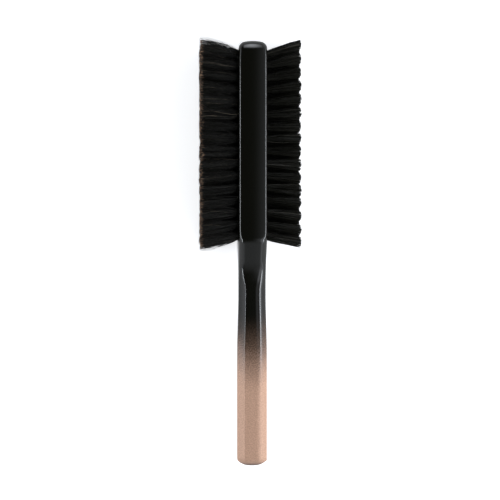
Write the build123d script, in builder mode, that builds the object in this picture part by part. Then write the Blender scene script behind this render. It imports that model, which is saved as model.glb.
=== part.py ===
from build123d import *

import os
from math import atan, cos, hypot, radians, sqrt, tan

# Double-sided club brush: a wooden board with soft bristle on its -X face and firm bristle on its +X
# face, and a faceted handle in line with it. Every tuft is folded round a flat wire anchor in a blind
# hole. The brush rests on the long edge of its head. X is the way the bristle points, +Y runs from the
# handle to the head's free end, and +Z is up, across the head's width. The origin lies on the resting
# edge, level with the middle of the bristle field. Millimetres and degrees.

# Bristle field
row_count = 7  # rows along the head, on each face
row_pitch = 5.8
tufts_in_row = 16  # in the outermost rows and every second one; the rows between hold one fewer
tuft_pitch = 6.28
fan_along = 10.0  # lean of the end tufts, along the head
fan_across = 6.0  # lean of the outermost rows, across the head
tuft_diameter = 2.8
tip_gap = 0.3  # between neighbouring tufts at their tips
soft_length = 19.6  # free length above the face
firm_length = 17.1
flare_start = 0.4  # height above the face at which a tuft starts to spread

# Tuft holes and anchors
hole_depth = 5.5
hole_clearance = 0.05  # on the diameter
anchor_thickness = 0.35
anchor_height = 1.8
anchor_bite = 0.3  # how far each end of an anchor bites into the wood
fold_height = 1.2  # bristle folded under the anchor

# Head
side_margin = 6.1  # outermost row to the head's long edge
end_margin = 6.45  # end tuft to the head's free end
heel_margin = 2.5  # end tuft to the corner of the shoulders
head_thickness = 14.5
head_corner_radius = 6.0
head_edge_radius = 1.3

# Shoulders, neck and handle
overall_length = 220.0
shoulder_slope = 40.0
shoulder_radius = 3.5
neck_radius = 10.0
neck_width = 21.0
neck_hollow = 0.2  # how deep the neck lies below the head's faces
hollow_length = 18.0  # length over which that hollow comes in
neck_length = 6.7  # straight neck between the shoulders and the swelling grip
neck_chamfer = 3.7
facet_slope = 42.0  # at which the long facets run out towards the shoulders
facet_radius = 32.0
facet_straight = 0.5
swell_length = 32.0
grip_width = 21.6
grip_thickness = 15.3
grip_chamfer = 3.82
dome_height = 3.05  # the handle's rounded end
dome_surplus = 0.6  # how much higher the dome is drawn across the width and the facets

# Worked out from the sizes above
field_length = (tufts_in_row - 1) * tuft_pitch
field_width = (row_count - 1) * row_pitch
head_width = field_width + 2 * side_margin
middle = head_width / 2
head_end = field_length / 2 + end_margin
handle_end = head_end - overall_length
neck_thickness = head_thickness - 2 * neck_hollow
shoulder_corner = -field_length / 2 - heel_margin
neck_corner = shoulder_corner - (head_width - neck_width) / 2 / tan(radians(shoulder_slope))
swell_start = neck_corner - neck_radius * tan(radians(shoulder_slope / 2)) - neck_length
grip_start = swell_start - swell_length
dome_start = handle_end + dome_height
tuft_radius = tuft_diameter / 2
hole_radius = tuft_radius + hole_clearance / 2
anchor_size = (2 * (hole_radius + anchor_bite), anchor_thickness, anchor_height)
cone_surplus = 1.1  # a tuft's cone is drawn this much longer, then trimmed flat
clear = head_end + head_width  # reach of an outline past the body
bottom = (Align.CENTER, Align.CENTER, Align.MIN)

os.makedirs("parts", exist_ok=True)


def view_along(direction):
    # a plane through the body's centre line, with its x axis along the body
    return Plane(origin=(0, 0, middle), x_dir=(0, 1, 0), z_dir=direction)


def body_outline(direction, upper, radii, grip_size, dome_reach):
    # an outline seen along the direction: the upper line, then the swell, the grip and the dome
    with BuildSketch(view_along(direction)) as outline:
        with BuildLine():
            head = FilletPolyline(*upper, radius=radii) if radii else Polyline(*upper)
            swell = Spline(head @ 1, (grip_start, grip_size / 2), tangents=[(-1, 0), (-1, 0)])
            side = Line(swell @ 1, (dome_start, grip_size / 2))
            dome = EllipticalCenterArc((dome_start, 0), dome_reach, grip_size / 2, 90, arc_size=90)
            Line(dome @ 1, head @ 0)
        make_face()
        mirror(about=Plane.XZ)
    return outline.sketch


def sloping_line(corner, slope, size):
    # comes down at a slope from beyond the head to half the size, and on to the swell
    beyond_head = size / 2 + (clear - corner) * slope
    return [(clear, 0), (clear, beyond_head), (corner, size / 2), (swell_start, size / 2)]


def diagonal_size(width, thickness, chamfer):
    # across two opposite chamfers
    return (width + thickness - 2 * chamfer) / sqrt(2)


def tuft_planes(side, row):
    # a plane for each tuft of a row: on the face, square to the tuft, with its x axis along the head
    skipped = row % 2
    across = row * row_pitch - field_width / 2
    lean_across = tan(radians(fan_across * across / (field_width / 2)))
    planes = []
    for number in range(tufts_in_row - skipped):
        along = (number + skipped / 2) * tuft_pitch - field_length / 2
        lean_along = tan(radians(fan_along * along / (field_length / 2)))
        on_face = (side * head_thickness / 2, along, middle + across)
        along_head = (-side * lean_along, 1, 0)
        planes.append(Plane(on_face, x_dir=along_head, z_dir=(side, lean_along, lean_across)))
    return planes


def places(planes, height):
    # a height above the face, measured along each tuft
    return Locations(*[plane.offset(height) for plane in planes])


def tip_radius(free_length):
    # as wide as the spacing at the tips allows, beside the next tuft in the row and in the next row
    spread_along = 2 * free_length * tan(radians(fan_along)) / (tufts_in_row - 1)
    spread_across = 2 * free_length * tan(radians(fan_across)) / (row_count - 1)
    in_row = tuft_pitch + spread_along
    between_rows = hypot(in_row / 2, row_pitch + spread_across)
    return (min(in_row, between_rows) - tip_gap) / 2 * cos(radians(fan_along))


with BuildPart() as brush_body:
    # the head, its shoulders and the neck: a flat board with rounded edges
    with BuildSketch(view_along((1, 0, 0))):
        with BuildLine():
            board = FilletPolyline(
                (head_end, 0),
                (head_end, head_width / 2),
                (shoulder_corner, head_width / 2),
                (neck_corner, neck_width / 2),
                (swell_start, neck_width / 2),
                radius=[head_corner_radius, shoulder_radius, neck_radius],
            )
            Polyline(board @ 1, (swell_start, 0), (head_end, 0))
        make_face()
        mirror(about=Plane.XZ)
    extrude(amount=head_thickness / 2, both=True)
    fillet(edges().filter_by(Plane.YZ).sort_by(Axis.Y)[2:], head_edge_radius)

    # the handle, a blank that the two outlines below bring to its thickness and facets
    handle_line = [(swell_start, 0), (swell_start, neck_width / 2)]
    handle = body_outline((1, 0, 0), handle_line, None, grip_width, dome_height + dome_surplus)
    extrude(handle, amount=clear, both=True)

    # the thickness, with the neck's hollow
    hollow_slope = 2 * neck_hollow / hollow_length
    hollow_radius = hollow_length / tan(atan(hollow_slope) / 2)
    thickness_line = sloping_line(shoulder_corner, hollow_slope, neck_thickness)
    thickness = body_outline((0, 0, 1), thickness_line, [0, hollow_radius], grip_thickness, dome_height)
    extrude(thickness, amount=clear, both=True, mode=Mode.INTERSECT)

    # the four long facets
    slope = tan(radians(facet_slope))
    facet_corner = swell_start + facet_straight + facet_radius * tan(radians(facet_slope / 2))
    neck_diagonal = diagonal_size(neck_width, neck_thickness, neck_chamfer)
    grip_diagonal = diagonal_size(grip_width, grip_thickness, grip_chamfer)
    facet_line = sloping_line(facet_corner, slope, neck_diagonal)
    for direction in [(1, 0, 1), (1, 0, -1)]:
        facets = body_outline(
            direction, facet_line, [0, facet_radius], grip_diagonal, dome_height + dome_surplus
        )
        extrude(facets, amount=2 * clear, both=True, mode=Mode.INTERSECT)

    # blind holes for the tufts, each with a nick on either side for the anchor's ends
    for side in (-1, 1):
        for row in range(row_count):
            planes = tuft_planes(side, row)
            with places(planes, -hole_depth):
                Cylinder(hole_radius, hole_depth + flare_start, align=bottom, mode=Mode.SUBTRACT)
            with places(planes, fold_height - hole_depth):
                Box(*anchor_size, align=bottom, mode=Mode.SUBTRACT)

brush_body.part.label = "brush_body"
export_step(brush_body.part, "parts/brush_body.step")

for kind, side, free_length in (("soft", -1, soft_length), ("firm", 1, firm_length)):
    cone_height = free_length * cone_surplus
    cone_slope = (tip_radius(free_length) - tuft_radius) / (free_length - flare_start)
    cone_radius = tuft_radius + cone_slope * cone_height
    trim = Plane(origin=(side * (head_thickness / 2 + free_length), 0, middle), z_dir=(side, 0, 0))
    for row in range(row_count):
        planes = tuft_planes(side, row)

        with BuildPart() as tufts:
            with places(planes, -hole_depth):
                Cylinder(tuft_radius, hole_depth + flare_start, align=bottom)
            with places(planes, flare_start):
                Cone(tuft_radius, cone_radius, cone_height, align=bottom)
            split(bisect_by=trim, keep=Keep.BOTTOM)
            with places(planes, fold_height - hole_depth):
                Box(*anchor_size, align=bottom, mode=Mode.SUBTRACT)
        tufts.part.label = f"{kind}_tufts_row_{row + 1}"
        export_step(tufts.part, f"parts/{tufts.part.label}.step")

        with BuildPart() as anchors:
            with places(planes, fold_height - hole_depth):
                Box(*anchor_size, align=bottom)
        anchors.part.label = f"{kind}_anchors_row_{row + 1}"
        export_step(anchors.part, f"parts/{anchors.part.label}.step")
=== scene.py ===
import math

import bmesh
import bpy
import numpy as np
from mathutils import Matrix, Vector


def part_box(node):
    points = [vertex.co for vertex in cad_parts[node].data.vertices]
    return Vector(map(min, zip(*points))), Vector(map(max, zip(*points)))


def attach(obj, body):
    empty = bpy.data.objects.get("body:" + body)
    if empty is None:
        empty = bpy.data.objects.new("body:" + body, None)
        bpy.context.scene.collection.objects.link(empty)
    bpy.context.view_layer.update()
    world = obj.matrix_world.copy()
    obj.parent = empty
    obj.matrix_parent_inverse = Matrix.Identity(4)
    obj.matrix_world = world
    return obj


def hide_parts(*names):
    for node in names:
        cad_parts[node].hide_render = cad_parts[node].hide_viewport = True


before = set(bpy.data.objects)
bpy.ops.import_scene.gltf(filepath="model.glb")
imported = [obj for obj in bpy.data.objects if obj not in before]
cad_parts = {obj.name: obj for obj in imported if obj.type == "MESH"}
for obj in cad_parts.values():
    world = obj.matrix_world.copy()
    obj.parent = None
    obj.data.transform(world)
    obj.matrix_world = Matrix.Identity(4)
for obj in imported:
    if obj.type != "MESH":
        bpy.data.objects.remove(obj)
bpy.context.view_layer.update()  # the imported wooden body, tufts and wire anchors
mm = 0.001
samePoint = 1e-6  # points closer together than this are merged
print("frame loaded")


class Wire:
    # a socket that Python's operators work on
    def __init__(self, tree, socket=None):
        self.tree = tree
        self.socket = socket

    def node(self, kind, settings, inputs, output=0):
        made = self.tree.nodes.new(kind)
        for name, value in settings.items():
            if name == "stops":
                fillRamp(made.color_ramp, value)
            else:
                setattr(made, name, value)
        for name, value in inputs.items():
            if isinstance(value, Wire):
                self.tree.links.new(value.socket, made.inputs[name])
            else:
                made.inputs[name].default_value = value
        return Wire(self.tree, made.outputs[output] if made.outputs else None)

    def maths(self, operation, *values):
        return self.node("ShaderNodeMath", {"operation": operation}, dict(enumerate(values)))

    def mix(self, below, above):  # this socket is the share of the colour above
        inputs = {0: self, 6: below, 7: above}
        return self.node("ShaderNodeMix", {"data_type": "RGBA"}, inputs, 2)

    def ramp(self, *stops):
        return self.node("ShaderNodeValToRGB", {"stops": stops}, {"Fac": self})

    def range(self, low, high, toLow=0.0, toHigh=1.0, smooth=False):
        settings = {"interpolation_type": "SMOOTHSTEP" if smooth else "LINEAR"}
        inputs = {
            "Value": self,
            "From Min": low,
            "From Max": high,
            "To Min": toLow,
            "To Max": toHigh,
        }
        return self.node("ShaderNodeMapRange", settings, inputs)

    def noise(self, spot, scale, detail):
        inputs = {"Vector": spot, "Scale": scale, "Detail": detail}
        return self.node("ShaderNodeTexNoise", {}, inputs)

    def whiteNoise(self, number):
        return self.node("ShaderNodeTexWhiteNoise", {"noise_dimensions": "1D"}, {"W": number})

    def parts(self):  # x, y and z
        split = self.tree.nodes.new("ShaderNodeSeparateXYZ")
        self.tree.links.new(self.socket, split.inputs[0])
        return [Wire(self.tree, output) for output in split.outputs]

    def __add__(self, other):
        return self.maths("ADD", self, other)

    def __sub__(self, other):
        return self.maths("SUBTRACT", self, other)

    def __rsub__(self, other):
        return self.maths("SUBTRACT", other, self)

    def __mul__(self, other):
        return self.maths("MULTIPLY", self, other)

    __radd__ = __add__
    __rmul__ = __mul__


def fillRamp(ramp, stops):
    while len(ramp.elements) < len(stops):
        ramp.elements.new(1.0)
    for element, (place, colour) in zip(ramp.elements, stops):
        element.position = place
        element.color = colour


def newMaterial(name, colour):
    material = bpy.data.materials.new(name)
    material.use_nodes = True
    material.diffuse_color = colour
    material.node_tree.nodes.clear()
    return material, Wire(material.node_tree)


def closeMaterial(wire, inputs):
    shader = wire.node("ShaderNodeBsdfPrincipled", {}, inputs)
    wire.node("ShaderNodeOutputMaterial", {}, {"Surface": shader})


# camera

view = {
    "distance": 1150 * mm,  # above the middle of the head's width
    "turn": 1.5,  # degrees, towards the soft side
    "aimX": -1.0 * mm,
    "aimBelowHeadEnd": 107.6 * mm,
    "shownWidth": 261.2 * mm,
    "sensor": 36.0,
    "nearest": 50 * mm,
}

bodyLow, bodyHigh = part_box("brush_body")
headEnd, handleEnd = bodyHigh.y, bodyLow.y
headWidth = bodyHigh.z - bodyLow.z
middle = (bodyHigh.z + bodyLow.z) / 2


def makeCamera():
    data = bpy.data.cameras.new("camera")
    data.sensor_width = view["sensor"]
    data.lens = view["sensor"] * view["distance"] / view["shownWidth"]
    data.clip_start = view["nearest"]
    camera = bpy.data.objects.new("camera", data)
    turn = math.radians(view["turn"])
    camera.location = (
        view["aimX"] - view["distance"] * math.sin(turn),
        headEnd - view["aimBelowHeadEnd"],
        middle + view["distance"] * math.cos(turn),
    )
    camera.rotation_euler = (0, -turn, 0)
    bpy.context.scene.collection.objects.link(camera)
    bpy.context.scene.camera = camera


makeCamera()
print("camera placed")

# wooden body: board, shoulders, neck and faceted handle, in millimetres and degrees
# a depth is measured from the head's free end towards the handle's end

wood = {
    "headThickness": 14.5,
    "headCorner": 6.0,
    "headEdge": 1.45,
    "endEdge": 2.6,  # the rounding grows towards the free end
    "endSoftening": 11.0,
    "headCrown": 0.35,
    "endCrown": 0.75,
    "crownFrom": 0.75,  # share of the half width past which the crown shows
    "shoulderCorner": 103.15,
    "shoulderSlope": 40.0,
    "shoulderRadius": 5.0,
    "neckRadius": 18.0,
    "neckWidth": 21.0,
    "neckThickness": 14.1,
    "neckLength": 3.8,
    "hollowLength": 18.0,
    "neckChamfer": 3.7,
    "swellLength": 32.0,
    "gripWidth": 21.6,
    "gripThickness": 15.3,
    "gripChamfer": 3.82,
    "facetEdge": 0.9,
    "rubbedEdge": 4.4,  # on the firm side, where the facet is worked rounder
    "facetFade": 13.0,
    "gripCrown": 0.06,
    "dome": 3.05,  # the rounded end of the handle
    "domePower": 0.42,
    "shoulderEdge": 3.4,
    "shoulderSoftening": 6.0,
    "softeningLead": 4.8,  # the edges start to soften this far ahead of the crest
    "endRings": 16,  # over the corner, and again over the dome
    "ringsPastCorner": (2, 12),
    "ringsAheadOfShoulders": (40, 8, 2),
    "closeRingsTo": (8, 38, 74),  # from the shoulders' start to their end, the neck's, the swell's
    "shoulderStep": 0.3,
    "neckStep": 0.6,
    "ringPastSwell": 4,
    "ringAheadOfEnd": 30,
    "ringAheadOfDome": 2,
    "cornerSteps": 7,
    "flatSteps": 7,
    "faceShares": (0.97, 0.6, 0.0),  # points down the broad face, to its middle
    "endZone": 1.0,  # left unmerged until the end is closed
}


def smooth(value):
    value = min(max(value, 0.0), 1.0)
    return value * value * (3 - 2 * value)


def between(low, high, share):
    return low + (high - low) * smooth(share)


def shoulderMarks():  # the slope, and the depths where its crest starts and its foot ends
    s = wood
    slope = math.radians(s["shoulderSlope"])
    fallen = (headWidth / mm - s["neckWidth"]) / 2
    crest = s["shoulderCorner"] - s["shoulderRadius"] * math.tan(slope / 2)
    foot = s["shoulderCorner"] + fallen / math.tan(slope)
    return slope, crest, foot + s["neckRadius"] * math.tan(slope / 2)


def swellShare(depth):  # how far the neck has swollen to the grip
    return (depth - shoulderMarks()[2] - wood["neckLength"]) / wood["swellLength"]


def widthAt(depth):  # half the width, and how steeply it falls
    s = wood
    slope, crest, toe = shoulderMarks()
    high, low = headWidth / mm / 2, s["neckWidth"] / 2
    if depth <= crest:
        return high, 0.0
    if depth <= crest + s["shoulderRadius"] * math.sin(slope):
        turn = math.asin((depth - crest) / s["shoulderRadius"])
        return high - s["shoulderRadius"] * (1 - math.cos(turn)), math.tan(turn)
    if depth <= toe - s["neckRadius"] * math.sin(slope):
        return high - (depth - s["shoulderCorner"]) * math.tan(slope), math.tan(slope)
    if depth <= toe:
        turn = math.asin((toe - depth) / s["neckRadius"])
        return low + s["neckRadius"] * (1 - math.cos(turn)), math.tan(turn)
    return between(low, s["gripWidth"] / 2, swellShare(depth)), 0.0


def section(depth):  # half sizes and edges of the ring at a depth
    s = wood
    crest, toe = shoulderMarks()[1:]
    width, fall = widthAt(depth)
    swell = swellShare(depth)
    neck = smooth((depth - s["shoulderCorner"]) / s["hollowLength"])
    thickness = s["headThickness"] + (s["neckThickness"] - s["headThickness"]) * neck
    thickness = between(thickness, s["gripThickness"], swell) / 2
    fade = (depth - toe - s["neckLength"] + s["facetFade"]) / s["facetFade"]
    edge = between(s["endEdge"], s["headEdge"], depth / s["endSoftening"])
    turned = (depth - crest + s["softeningLead"]) / s["shoulderSoftening"]
    edge += (s["shoulderEdge"] - edge) * min(max(turned, 0.0), 1.0) ** 3
    plainChamfer = edge * (2 - math.sqrt(2))  # with this one, the corner is a plain rounding
    chamfer = between(plainChamfer, s["neckChamfer"], fade)
    chamfer = between(chamfer, s["gripChamfer"], swell)
    return {
        "width": width,
        "thickness": thickness,
        "chamfer": chamfer,
        "edges": [between(edge, s[name], fade) for name in ("facetEdge", "rubbedEdge")],
        "crown": between(s["headCrown"], s["gripCrown"], fade),
        "stretch": math.hypot(1, fall),
    }


def quarter(ring, depth, edge):  # one corner, from the narrow edge round to the broad face
    steps, corner = wood["cornerSteps"], wood["headCorner"]
    points = []
    if depth < corner:  # the free end, whose outline turns its own corner
        left = corner - depth
        most = math.acos(min(max((left - (corner - edge)) / edge, 0.0), 1.0))
        for number in range(2 * steps):
            turn = most * number / (2 * steps - 1)
            reach = corner - edge + edge * math.cos(turn)
            rise = math.sqrt(max(reach * reach - left * left, 0.0))
            out = ring["thickness"] - edge + edge * math.sin(turn)
            points.append((out, ring["width"] - corner + rise))
        return points
    chamfer = ring["chamfer"]
    tangent = chamfer + edge * math.tan(math.pi / 8)
    for number in range(2 * steps):
        if number < steps:
            turn = math.pi / 4 * number / (steps - 1)
            inX, inZ = tangent - edge * math.sin(turn), edge * (1 - math.cos(turn))
        else:
            turn = math.pi / 4 * (1 + (number - steps) / (steps - 1))
            inX, inZ = edge * (1 - math.sin(turn)), tangent - edge * math.cos(turn)
        points.append((ring["thickness"] - inX, ring["width"] - inZ * ring["stretch"]))
    return points


def halfRing(ring, depth, edge):  # from the middle of the upper edge down to that of the lower one
    corner = quarter(ring, depth, edge)
    steps = wood["flatSteps"] + 1
    flat = []
    for number in range(steps):
        share = math.sin(math.pi / 2 * number / steps)
        flat.append((corner[0][0] * share, corner[0][1]))
    side = [(corner[-1][0], corner[-1][1] * share) for share in wood["faceShares"]]
    upper = flat + corner + side
    return upper + [(x, -z) for x, z in reversed(upper[:-1])]


def wholeRing(depth):  # round the section, from the middle of the upper edge
    ring = section(depth)
    softSide, firmSide = [halfRing(ring, depth, edge) for edge in ring["edges"]]
    ring["points"] = firmSide + [(-x, z) for x, z in reversed(softSide[1:-1])]
    return ring


def domeShare(depth):  # how much of the grip's section is left
    left = (headEnd - handleEnd) / mm - depth
    if left >= wood["dome"]:
        return 1.0
    return max(left / wood["dome"], 0.0) ** wood["domePower"]


def placed(ring, depth):  # the ring's points in metres, with the light crowns
    s = wood
    share = domeShare(depth)
    flatHalf = ring["thickness"] - s["headEdge"]
    freeEnd = smooth(1 - depth / s["headCorner"])
    points = []
    for x, z in ring["points"]:
        crown = ring["crown"] * (x / flatHalf) ** 2
        sink = s["endCrown"] * (x / flatHalf) ** 2 * freeEnd
        edgeShare = smooth((abs(z) / ring["width"] - s["crownFrom"]) / (1 - s["crownFrom"]))
        z -= math.copysign(crown * (1 - freeEnd) * edgeShare, z)
        points.append((x * share * mm, headEnd - (depth + sink) * mm, middle + z * share * mm))
    return points


def ringDepths():  # close together where the outline turns
    s = wood
    length = (headEnd - handleEnd) / mm
    corner = s["headCorner"]
    start = s["shoulderCorner"] - s["shoulderRadius"]
    shoulderEnd, neckEnd, swellEnd = [start + reach for reach in s["closeRingsTo"]]
    turns = [math.pi / 2 * number / s["endRings"] for number in range(s["endRings"] + 1)]
    depths = [corner * (1 - math.cos(turn)) for turn in turns]
    depths += [corner + past for past in s["ringsPastCorner"]]
    depths += [start - ahead for ahead in s["ringsAheadOfShoulders"]]
    depths += list(np.arange(start, shoulderEnd, s["shoulderStep"]))
    depths += list(np.arange(shoulderEnd, neckEnd, s["neckStep"]))
    depths += list(np.arange(neckEnd, swellEnd, 2 * s["neckStep"]))
    depths += [swellEnd + s["ringPastSwell"], length - s["ringAheadOfEnd"]]
    depths += [length - s["dome"] - s["ringAheadOfDome"]]
    return depths + [length - s["dome"] * (1 - math.sin(turn)) for turn in turns]


def openEdges(form):
    return [edge for edge in form.edges if edge.is_boundary]


def capHeadEnd(form, ring):  # strips across the head's end, and a thin face on either side of them
    half = len(ring) // 2
    for step in range(wood["flatSteps"]):
        for sign in (1, -1):
            upper = [ring[sign * step], ring[sign * (step + 1)]]
            lower = [ring[half - sign * (step + 1)], ring[half - sign * step]]
            form.faces.new(upper + lower)
    bmesh.ops.holes_fill(form, edges=openEdges(form), sides=0)


def makeWood():  # a grid rolled into a tube along the body
    depths = ringDepths()
    rings = [placed(wholeRing(depth), depth) for depth in depths]
    columns, rows = len(rings[0]), len(rings) - 1
    form = bmesh.new()
    bmesh.ops.create_grid(form, x_segments=columns, y_segments=rows, size=1.0)
    endRing = {}
    for vert in form.verts:
        column = round((vert.co.x + 1) / 2 * columns)
        row = round((vert.co.y + 1) / 2 * rows)
        vert.co = rings[row][column % columns]
        if row == 0:
            endRing[column] = vert
    bmesh.ops.weld_verts(form, targetmap={endRing.pop(columns): endRing[0]})
    behind = [vert for vert in form.verts if vert.co.y < headEnd - wood["endZone"] * mm]
    bmesh.ops.remove_doubles(form, verts=behind, dist=samePoint)
    capHeadEnd(form, [endRing[column] for column in range(columns)])
    bmesh.ops.remove_doubles(form, verts=form.verts, dist=samePoint)
    bmesh.ops.dissolve_degenerate(form, edges=form.edges, dist=samePoint)
    bmesh.ops.recalc_face_normals(form, faces=form.faces)
    return newPiece("lacquered_body", form, woodLacquer())


def newPiece(name, form, material):
    mesh = bpy.data.meshes.new(name)
    form.to_mesh(mesh)
    form.free()
    mesh.materials.append(material)
    mesh.shade_smooth()
    piece = bpy.data.objects.new(name, mesh)
    bpy.context.scene.collection.objects.link(piece)
    return piece


finish = {
    "black": (0.0028, 0.0028, 0.0013, 1),
    "copper": (0.455, 0.272, 0.182, 1),
    "paleCopper": (0.61, 0.37, 0.255, 1),
    # painted shade: the handle's domed end is darkened towards its tip, where the light turns away
    # from it
    "paintedDomeShade": (0.02, 0.011, 0.007, 1),
    "paintedShadeDepth": 3.0 * mm,
    "paintedShadeShare": 0.9,
    "faceHalf": 3.8 * mm,
    "sprayedAside": 5.0 * mm,  # how much nearer the head the copper starts on the broad faces
    "fadeFrom": -84 * mm,
    "fadeTo": -130 * mm,
    "fadePower": 1.5,
    "cloudScale": 90.0,
    "cloudDrift": 6 * mm,
    "grainScale": 1600.0,
    "grainDepth": 0.7,
    "flakeTones": (0.36, 0.7),
    "peelScale": 420.0,  # the lacquer's faint orange peel
    "peelDepth": 0.4 * mm,
    "peelStrength": 0.004,
    "copperMetal": 0.1,
    "blackRoughness": 0.16,
    "copperRoughness": 0.6,
}


def woodLacquer():
    f = finish
    material, wire = newMaterial("black_to_copper_lacquer", f["black"])
    spot = wire.node("ShaderNodeTexCoord", {}, {}, "Object")
    across, along = spot.parts()[:2]
    aside = wire.maths("ABSOLUTE", across)
    aside = aside.range(f["faceHalf"], 2 * f["faceHalf"], 0, f["sprayedAside"])
    grain = wire.noise(spot, f["grainScale"], 2.0)
    cloud = wire.noise(spot, f["cloudScale"], 2.0)
    sprayed = (along - aside + (cloud - 0.5) * f["cloudDrift"]).range(f["fadeFrom"], f["fadeTo"])
    mist = sprayed * (1 - sprayed) * 4  # fullest halfway through the fade
    speckles = (grain - 0.5) * f["grainDepth"] * mist * sprayed
    paint = (wire.maths("POWER", sprayed, f["fadePower"]) + speckles).range(0.0, 1.0, smooth=True)
    flake = grain.range(*f["flakeTones"]).mix(f["copper"], f["paleCopper"])
    # painted shade over the last millimetres of the handle's dome, darkest at its very end
    paintedDomeShade = along.range(handleEnd, handleEnd + f["paintedShadeDepth"], f["paintedShadeShare"], 0.0, smooth=True)
    peel = {
        "Strength": f["peelStrength"],
        "Distance": f["peelDepth"],
        "Height": wire.noise(spot, f["peelScale"], 0.0),
    }
    inputs = {
        "Base Color": paint.mix(f["black"], paintedDomeShade.mix(flake, f["paintedDomeShade"])),
        "Metallic": paint * f["copperMetal"],
        "Roughness": paint.range(0, 1, f["blackRoughness"], f["copperRoughness"]),
        "Normal": wire.node("ShaderNodeBump", {}, peel),
    }
    closeMaterial(wire, inputs)
    return material


woodPiece = makeWood()
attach(woodPiece, "root")
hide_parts("brush_body")
print("body", len(woodPiece.data.polygons), "faces")

# bristle: one piece for each row of tufts, lengths in millimetres

bristle = {
    "heights": (0.0, 0.22, 0.48, 0.75, 0.985, 1.0),  # rings up a stem, as shares of its length
    "sides": 3,
    "lanes": 64,  # strips of the map, each with a tone of its own
    "laneMargin": 0.1,
    "capDepth": 0.005,  # of a stem's closed ends on the map
    "capCorners": (0.2, 0.5, 0.8),  # across the lane
    "sunk": 0.5,  # how deep in the wood a stem starts
    "thickness": (0.8, 1.25),  # thinnest and thickest, as shares of the radius
    "taper": 0.4,
    "wave": 0.35,  # share of the bend
    "wildReach": 3,  # how much further a wild bristle strays
    "domeReach": 1.3,  # share of a tuft's radius, past which bristles get no shorter
    "lowest": 0.05,  # above the table
    "rootZone": 0.7,  # a plain tuft's points this near its ends are taken for its ends
    "tipZone": 0.01,
}
soft = {
    "name": "soft",
    "slot": "soft_bristle",
    "seed": 100,
    "side": -1,
    "perTuft": 170,
    "radius": 0.10,
    "rootRadius": 1.5,  # of the tuft where it leaves the wood
    "flare": 2.2,  # a larger value opens the tuft sooner
    "spread": 1.02,  # share of the plain tuft's tip radius
    "stray": 0.20,  # share of the tip radius, at random
    "bend": 0.9,
    "jag": 1.2,  # the most a bristle falls short
    "tuftJag": 0.35,  # the most a whole tuft does
    "tuftLean": 0.35,
    "domed": 0.10,  # how much shorter the outer bristles are
    "wild": 0.04,  # share of bristles
    "proud": 1.15,  # past the plain tuft's tip
    "headLean": -0.65,  # of the last tufts' tips at the head's end, towards that end
    "heelLean": 1.4,  # and at the heel, the same way
    "clumps": 8,
    "gather": 0.4,
    "clumpJag": 1.0,
    "betweenRowsLower": 0.4,  # every second row stands this much lower
}
firm = {
    "name": "firm",
    "slot": "firm_bristle",
    "seed": 200,
    "side": 1,
    "perTuft": 120,
    "radius": 0.13,
    "rootRadius": 1.35,
    "flare": 1.5,
    "spread": 0.98,
    "stray": 0.04,
    "bend": 0.3,
    "jag": 0.15,
    "tuftJag": 0.2,
    "tuftLean": 0.2,
    "domed": 0.8,
    "wild": 0.004,
    "proud": 0.85,
    "headLean": 1.4,
    "heelLean": 0.5,
    "clumps": 6,
    "gather": 0.3,
    "clumpJag": 0.15,
    "betweenRowsLower": 0.7,
}


def tuftAxes(node):  # the bottom of each tuft's hole and the middle of its tip
    form = bmesh.new()
    form.from_mesh(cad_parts[node].data)
    bmesh.ops.remove_doubles(form, verts=form.verts, dist=samePoint)
    axes, seen = [], set()
    for vert in form.verts:
        if vert in seen:
            continue
        island, front = {vert}, [vert]
        while front:
            near = front.pop()
            for edge in near.link_edges:
                other = edge.other_vert(near)
                if other not in island:
                    island.add(other)
                    front.append(other)
        seen |= island
        spots = np.array([list(v.co) for v in island])
        out = np.abs(spots[:, 0])
        root = spots[out < out.min() + bristle["rootZone"] * mm].mean(axis=0)
        tip = spots[out > out.max() - bristle["tipZone"] * mm].mean(axis=0)
        axes.append((root, tip))
    form.free()
    return sorted(axes, key=lambda axis: axis[0][1])


def bristleTemplate():  # a closed stem of unit size, with its length along the map's u
    b = bristle
    rings = len(b["heights"]) - 1
    form = bmesh.new()
    bmesh.ops.create_grid(form, x_segments=b["sides"], y_segments=rings, size=1.0)
    layer = form.loops.layers.uv.new("OFBake")
    for vert in form.verts:
        vert.co.z = b["heights"][round((vert.co.y + 1) / 2 * rings)]
    for face in form.faces:
        for loop in face.loops:
            loop[layer].uv = (loop.vert.co.z, (loop.vert.co.x + 1) / 2)
    for vert in form.verts:
        turn = math.pi * (vert.co.x + 1)
        vert.co = (math.cos(turn), math.sin(turn), vert.co.z)
    bmesh.ops.remove_doubles(form, verts=form.verts, dist=samePoint)
    bmesh.ops.holes_fill(form, edges=openEdges(form), sides=0)
    for face in form.faces:
        heights = {vert.co.z for vert in face.verts}
        if len(heights) == 1:  # a cap: three corners in the stem's own lane, and a sharp edge
            height = heights.pop()
            for number, loop in enumerate(face.loops):
                u = abs(height - b["capDepth"] * (number == 1))
                loop[layer].uv = (u, b["capCorners"][number])
                loop.edge.smooth = False
    bmesh.ops.recalc_face_normals(form, faces=form.faces)
    mesh = bpy.data.meshes.new("bristle")
    form.to_mesh(mesh)
    form.free()
    return mesh


def copies(mesh, count):  # all in one mesh and one place
    holder = bpy.data.objects.new("bristles", mesh)
    bpy.context.scene.collection.objects.link(holder)
    array = holder.modifiers.new("many", "ARRAY")
    array.use_relative_offset = False
    array.count = count
    graph = bpy.context.evaluated_depsgraph_get()
    many = bpy.data.meshes.new_from_object(holder.evaluated_get(graph))
    bpy.data.objects.remove(holder)
    return many


def unit(vectors):
    return vectors / np.linalg.norm(vectors, axis=1, keepdims=True)


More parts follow.
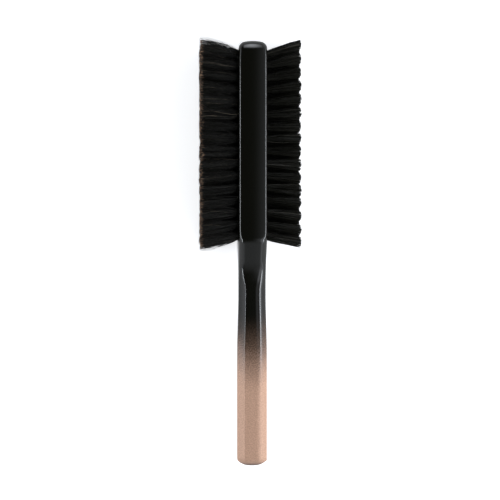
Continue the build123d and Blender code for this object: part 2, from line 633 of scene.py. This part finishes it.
def setStems(mesh, kind, draw, starts, ends, rootOffsets, tipOffsets):  # draws out each copy
    b, count = bristle, len(starts)
    spots = np.zeros(len(mesh.vertices) * 3)
    mesh.vertices.foreach_get("co", spots)
    spots = spots.reshape(count, -1, 3)
    along = spots[:, :, 2]
    way = unit(ends + tipOffsets - starts - rootOffsets)
    acrossOne = unit(np.cross(way, [0.0, 0.0, 1.0]))
    acrossTwo = np.cross(way, acrossOne)
    spin = draw.random(count)[:, None] * 2 * math.pi
    x = spots[:, :, 0] * np.cos(spin) - spots[:, :, 1] * np.sin(spin)
    y = spots[:, :, 0] * np.sin(spin) + spots[:, :, 1] * np.cos(spin)
    thick = kind["radius"] * mm * draw.uniform(*b["thickness"], count)[:, None]
    thick = thick * (1 - b["taper"] * along**3)
    opened = (1 - (1 - along) ** kind["flare"])[:, :, None]
    stems = starts[:, None] + (ends - starts)[:, None] * along[:, :, None]
    stems += rootOffsets[:, None] * (1 - opened) + tipOffsets[:, None] * opened
    bend = draw.normal(size=(count, 3)) * [0, 1, 1] * kind["bend"] * mm
    wave = draw.normal(size=(count, 3)) * [0, 1, 1] * kind["bend"] * b["wave"] * mm
    stems += bend[:, None] * (along * (1 - along) * 2)[:, :, None]
    stems += wave[:, None] * np.sin(along * 2 * math.pi)[:, :, None]
    stems += acrossOne[:, None] * (x * thick)[:, :, None]
    stems += acrossTwo[:, None] * (y * thick)[:, :, None]
    stems[:, :, 2] = np.maximum(stems[:, :, 2], b["lowest"] * mm)
    mesh.vertices.foreach_set("co", stems.ravel())


def setLanes(mesh, count, draw):  # each bristle lies in one of the map's lanes
    layer = mesh.uv_layers["OFBake"].data
    places = np.zeros(len(layer) * 2)
    layer.foreach_get("uv", places)
    places = places.reshape(count, -1, 2)
    lanes = draw.integers(0, bristle["lanes"], count)
    margin = bristle["laneMargin"]
    within = margin + (1 - 2 * margin) * places[:, :, 1]
    places[:, :, 1] = (lanes[:, None] + within) / bristle["lanes"]
    layer.foreach_set("uv", places.ravel())


def gatherTips(disc, kind, tufts, draw):  # the tips of a tuft lean together in small clumps
    each, clumps = kind["perTuft"], kind["clumps"]
    gathered, shorter = disc.copy(), np.zeros(len(disc))
    for tuft in range(tufts):
        own = slice(tuft * each, (tuft + 1) * each)
        centres = disc[own][:clumps]
        nearest = np.linalg.norm(disc[own][:, None] - centres[None], axis=2).argmin(axis=1)
        gathered[own] += (centres[nearest] - disc[own]) * kind["gather"]
        shorter[own] = (draw.random(clumps) * kind["clumpJag"])[nearest]
    return gathered, shorter


def makeRow(kind, row, material):
    node = f"{kind['name']}_tufts_row_{row}"
    draw = np.random.default_rng(kind["seed"] + row)
    axes = tuftAxes(node)
    each, side = kind["perTuft"], kind["side"]
    count = each * len(axes)
    startX = side * (wood["headThickness"] / 2 - bristle["sunk"]) * mm
    low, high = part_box(node)
    tipRadius = (high.y - low.y - (axes[-1][1][1] - axes[0][1][1])) / 2
    tuftLean = draw.normal(size=(len(axes), 3)) * [0, 1, 1] * kind["tuftLean"] * mm
    tuftLean[:, 0] = -side * draw.random(len(axes)) * kind["tuftJag"] * mm
    roots = np.repeat([axis[0] for axis in axes], each, axis=0)
    tips = np.repeat([axis[1] for axis in axes], each, axis=0)
    share = (startX - roots[:, 0]) / (tips[:, 0] - roots[:, 0])
    starts = roots + (tips - roots) * share[:, None]
    radius = np.sqrt(draw.random(count))
    turn = draw.random(count) * 2 * math.pi
    disc = np.stack([np.zeros(count), np.cos(turn), np.sin(turn)], axis=1) * radius[:, None]
    wander = draw.normal(size=(count, 3)) * [0, 1, 1] * kind["stray"]
    wild = draw.random(count) < kind["wild"]
    wander[wild] *= bristle["wildReach"]
    gathered, shorter = gatherTips(disc, kind, len(axes), draw)
    tipOffsets = (gathered * kind["spread"] + wander) * tipRadius
    tipOffsets += np.repeat(tuftLean, each, axis=0)
    outer = np.linalg.norm(disc + wander, axis=1)
    shorter += kind["domed"] * np.minimum(outer, bristle["domeReach"]) ** 2
    shorter += draw.random(count) ** 2 * kind["jag"] - kind["proud"]
    if row % 2 == 0:
        shorter += kind["betweenRowsLower"]
    tipOffsets[:, 0] -= side * shorter * mm
    for name, last in (("headLean", tips[:, 1].max()), ("heelLean", tips[:, 1].min())):
        tipOffsets[:, 1] += np.maximum(tips[:, 1] / last, 0) ** 3 * kind[name] * mm
    mesh = copies(bristleTemplate(), count)
    setStems(mesh, kind, draw, starts, tips, disc * kind["rootRadius"] * mm, tipOffsets)
    setLanes(mesh, count, draw)
    mesh.materials.append(material)
    mesh.shade_smooth()
    mesh.update()
    piece = bpy.data.objects.new(node.replace("tufts", "bristles"), mesh)
    bpy.context.scene.collection.objects.link(piece)
    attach(piece, "root")
    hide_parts(node)


softFinish = {
    "name": "soft_natural_bristle",
    "dark": (0.0036, 0.0034, 0.0020, 1),
    "middle": (0.0080, 0.0074, 0.0048, 1),
    # painted highlight: light lanes that stand in for glints along the stems, partly real pale
    # natural hairs
    "light": (0.42, 0.36, 0.27, 1),
    "tip": (1.0, 0.66, 0.44, 1),
    "tipFrom": 0.94,  # share of the length
    "tipShare": 0.42,  # share of the bristles with a light tip
    "roughness": 0.36,
}
firmFinish = {
    "name": "firm_black_bristle",
    "dark": (0.0080, 0.0079, 0.0052, 1),
    "middle": (0.0135, 0.0132, 0.0094, 1),
    # painted highlight: light lanes that stand in for glints along the black stems
    "light": (0.16, 0.15, 0.125, 1),
    "tip": (0.006, 0.0055, 0.004, 1),
    "tipFrom": 0.9,
    "tipShare": 0.5,
    "roughness": 0.30,
}
bristleTones = {
    "middleFrom": 0.65,
    "middleTo": 0.92,  # the few lanes above this turn light: painted glints along the stems, on the soft side partly real pale hairs too
    "secondDraw": 0.37,  # so that a tip's tone is drawn apart from its stem's
    "roughnessSpread": 0.1,
    "specular": 0.3,
}


def bristleMaterial(f):
    t = bristleTones
    material, wire = newMaterial(f["name"], f["dark"])
    along, lane = wire.node("ShaderNodeUVMap", {"uv_map": "OFBake"}, {}).parts()[:2]
    number = wire.maths("FLOOR", lane * bristle["lanes"])
    tone = wire.whiteNoise(number)
    other = wire.whiteNoise(number + t["secondDraw"])
    # the top lanes take the light tone, a painted glint along the stem
    stem = tone.ramp(
        (0.0, f["dark"]),
        (t["middleFrom"], f["middle"]),
        (t["middleTo"], f["middle"]),
        (1.0, f["light"]),
    )
    ends = along.range(f["tipFrom"], 1.0, smooth=True) * other.range(1 - f["tipShare"], 1.0)
    inputs = {
        "Base Color": ends.mix(stem, f["tip"]),
        "Roughness": tone.range(0, 1, f["roughness"], f["roughness"] + t["roughnessSpread"]),
        "Specular IOR Level": t["specular"],
    }
    closeMaterial(wire, inputs)
    return material


softBristle = bristleMaterial(softFinish)
firmBristle = bristleMaterial(firmFinish)
rowCount = sum(name.startswith("soft_tufts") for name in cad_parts)
for row in range(1, rowCount + 1):
    makeRow(soft, row, softBristle)
    makeRow(firm, row, firmBristle)
print("bristle made")

# wire anchors, inside the wood

anchor = {
    "shown": (0.75, 0.58, 0.28, 1),
    "dull": (0.62, 0.45, 0.2, 1),
    "bright": (0.8, 0.62, 0.32, 1),
    "drawnScale": 900.0,
    "drawnTones": (0.3, 0.7),
    "roughness": (0.22, 0.4),
}


def anchorMetal():
    material, wire = newMaterial("drawn_anchor_wire", anchor["shown"])
    spot = wire.node("ShaderNodeTexCoord", {}, {}, "Object")
    drawn = wire.noise(spot, anchor["drawnScale"], 2.0)
    inputs = {
        "Base Color": drawn.mix(anchor["dull"], anchor["bright"]),
        "Metallic": 1.0,
        "Roughness": drawn.range(*anchor["drawnTones"], *anchor["roughness"]),
    }
    closeMaterial(wire, inputs)
    return material


anchorWire = anchorMetal()
for name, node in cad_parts.items():
    if "anchors" in name:
        node.data.materials.clear()
        node.data.materials.append(anchorWire)
print("anchors finished")

# floor, lights and world

studio = {
    "floorSize": 6.0,
    "floorDrop": 0.05 * mm,
    "floorColour": (0.85, 0.85, 0.85, 1),
    "floorMirrored": (0.42, 0.42, 0.42, 1),  # what the brush's gloss sees of it
    "floorRoughness": 0.9,
    "floorGlow": 0.75,
    "tint": (0.90, 0.94, 1.0, 1),
    "overhead": 0.042,
    "horizon": 0.78,
    "horizonRight": 1.5,  # how much brighter it is on the right
    "handleWall": 0.42,
    "leftBox": 1.4,
    "rightBox": 1.5,
    "rightFill": 0.55,
    "farFill": 0.25,  # share of the fill left behind the right box
    "neckGlow": 3.0,
    "headBox": 6.0,
}
# where each part of the light starts and ends, as shares of the direction across, along or up
edges = {
    "wallsAcross": (0.1, 0.7),
    "horizonUp": (0.05, 0.36),
    "horizonAcross": (-0.7, 0.7),
    "handleWallAlong": (-0.5, -1.0),
    "boxesAcross": (0.76, 0.96),
    "boxesUp": (0.0, 0.18),
    "leftToRight": (-0.5, 0.5),
    "fillStarts": (0.02, 0.42),
    "fillEnds": (0.45, 0.8),
    "neckGlowStarts": (-0.05, -0.35),
    "neckGlowEnds": (-0.65, -0.9),
    "headBoxAcross": (0.0, 0.22),
    "headBoxAlong": (0.60, 0.90),
    "headBoxUp": (-0.05, 0.15),
}
lamps = {
    "leftStrip": {"at": (-0.42, -0.16, 0.17), "size": (0.05, 0.48), "power": 1.25},
    "rightStrip": {"at": (0.42, -0.15, 0.19), "size": (0.07, 0.50), "power": 1.5},
}


def makeFloor():
    s = studio
    form = bmesh.new()
    bmesh.ops.create_grid(form, x_segments=1, y_segments=1, size=s["floorSize"] / 2)
    material, wire = newMaterial("floor_paper", s["floorColour"])
    seen = wire.node("ShaderNodeLightPath", {}, {}, "Is Camera Ray")
    shown = seen.mix(s["floorMirrored"], s["floorColour"])
    inputs = {
        "Base Color": shown,
        "Roughness": s["floorRoughness"],
        "Emission Color": shown,
        "Emission Strength": s["floorGlow"],
    }
    closeMaterial(wire, inputs)
    floor = newPiece("floor", form, material)
    floor.location.z = -s["floorDrop"]


def makeWorld():  # pale walls, a dark ceiling and soft boxes at both sides and past the head
    s, e = studio, edges
    world = bpy.data.worlds.new("studio")
    bpy.context.scene.world = world
    world.use_nodes = True
    world.node_tree.nodes.clear()
    wire = Wire(world.node_tree)
    across, along, up = wire.node("ShaderNodeTexCoord", {}, {}, "Generated").parts()
    sideways = wire.maths("ABSOLUTE", across)
    horizon = up.range(*e["horizonUp"], s["horizon"], 0, smooth=True)
    horizon = sideways.range(*e["wallsAcross"]) * horizon
    horizon = horizon * across.range(*e["horizonAcross"], 1.0, s["horizonRight"])
    handleWall = along.range(*e["handleWallAlong"], s["overhead"], s["handleWall"], smooth=True)
    boxes = sideways.range(*e["boxesAcross"], smooth=True) * up.range(*e["boxesUp"], smooth=True)
    sides = boxes * across.range(*e["leftToRight"], s["leftBox"], s["rightBox"])
    fill = across.range(*e["fillStarts"], 0, s["rightFill"], smooth=True)
    fill = fill * across.range(*e["fillEnds"], 1, s["farFill"])
    nearNeck = along.range(*e["neckGlowStarts"], smooth=True)
    nearNeck = nearNeck * along.range(*e["neckGlowEnds"], 1, 0, smooth=True)
    fill = fill * (1 + nearNeck * s["neckGlow"])
    head = along.range(*e["headBoxAlong"], smooth=True) * up.range(*e["headBoxUp"], smooth=True)
    head = head * sideways.range(*e["headBoxAcross"], 1.0, 0.0, smooth=True)
    light = horizon + handleWall + sides + fill + head * s["headBox"]
    seen = wire.node("ShaderNodeLightPath", {}, {}, "Is Camera Ray")
    strength = seen.range(0, 1, light, 1.0)
    shade = wire.node("ShaderNodeBackground", {}, {"Color": s["tint"], "Strength": strength})
    wire.node("ShaderNodeOutputWorld", {}, {"Surface": shade})


def makeLamp(name, lamp):  # a strip along the brush, turned to face it
    data = bpy.data.lights.new(name, "AREA")
    data.shape = "RECTANGLE"
    data.size, data.size_y = lamp["size"]
    data.energy = lamp["power"]
    data.color = studio["tint"][:3]
    light = bpy.data.objects.new(name, data)
    light.location = lamp["at"]
    tilt = math.atan2(lamp["at"][0], lamp["at"][2] - middle)
    light.rotation_euler = (0, tilt, 0)
    light.visible_camera = False
    bpy.context.scene.collection.objects.link(light)


makeFloor()
makeWorld()
for name, lamp in lamps.items():
    makeLamp(name, lamp)
bpy.context.scene.view_settings.view_transform = "Standard"
print("studio lit")

bpy.context.view_layer.update()
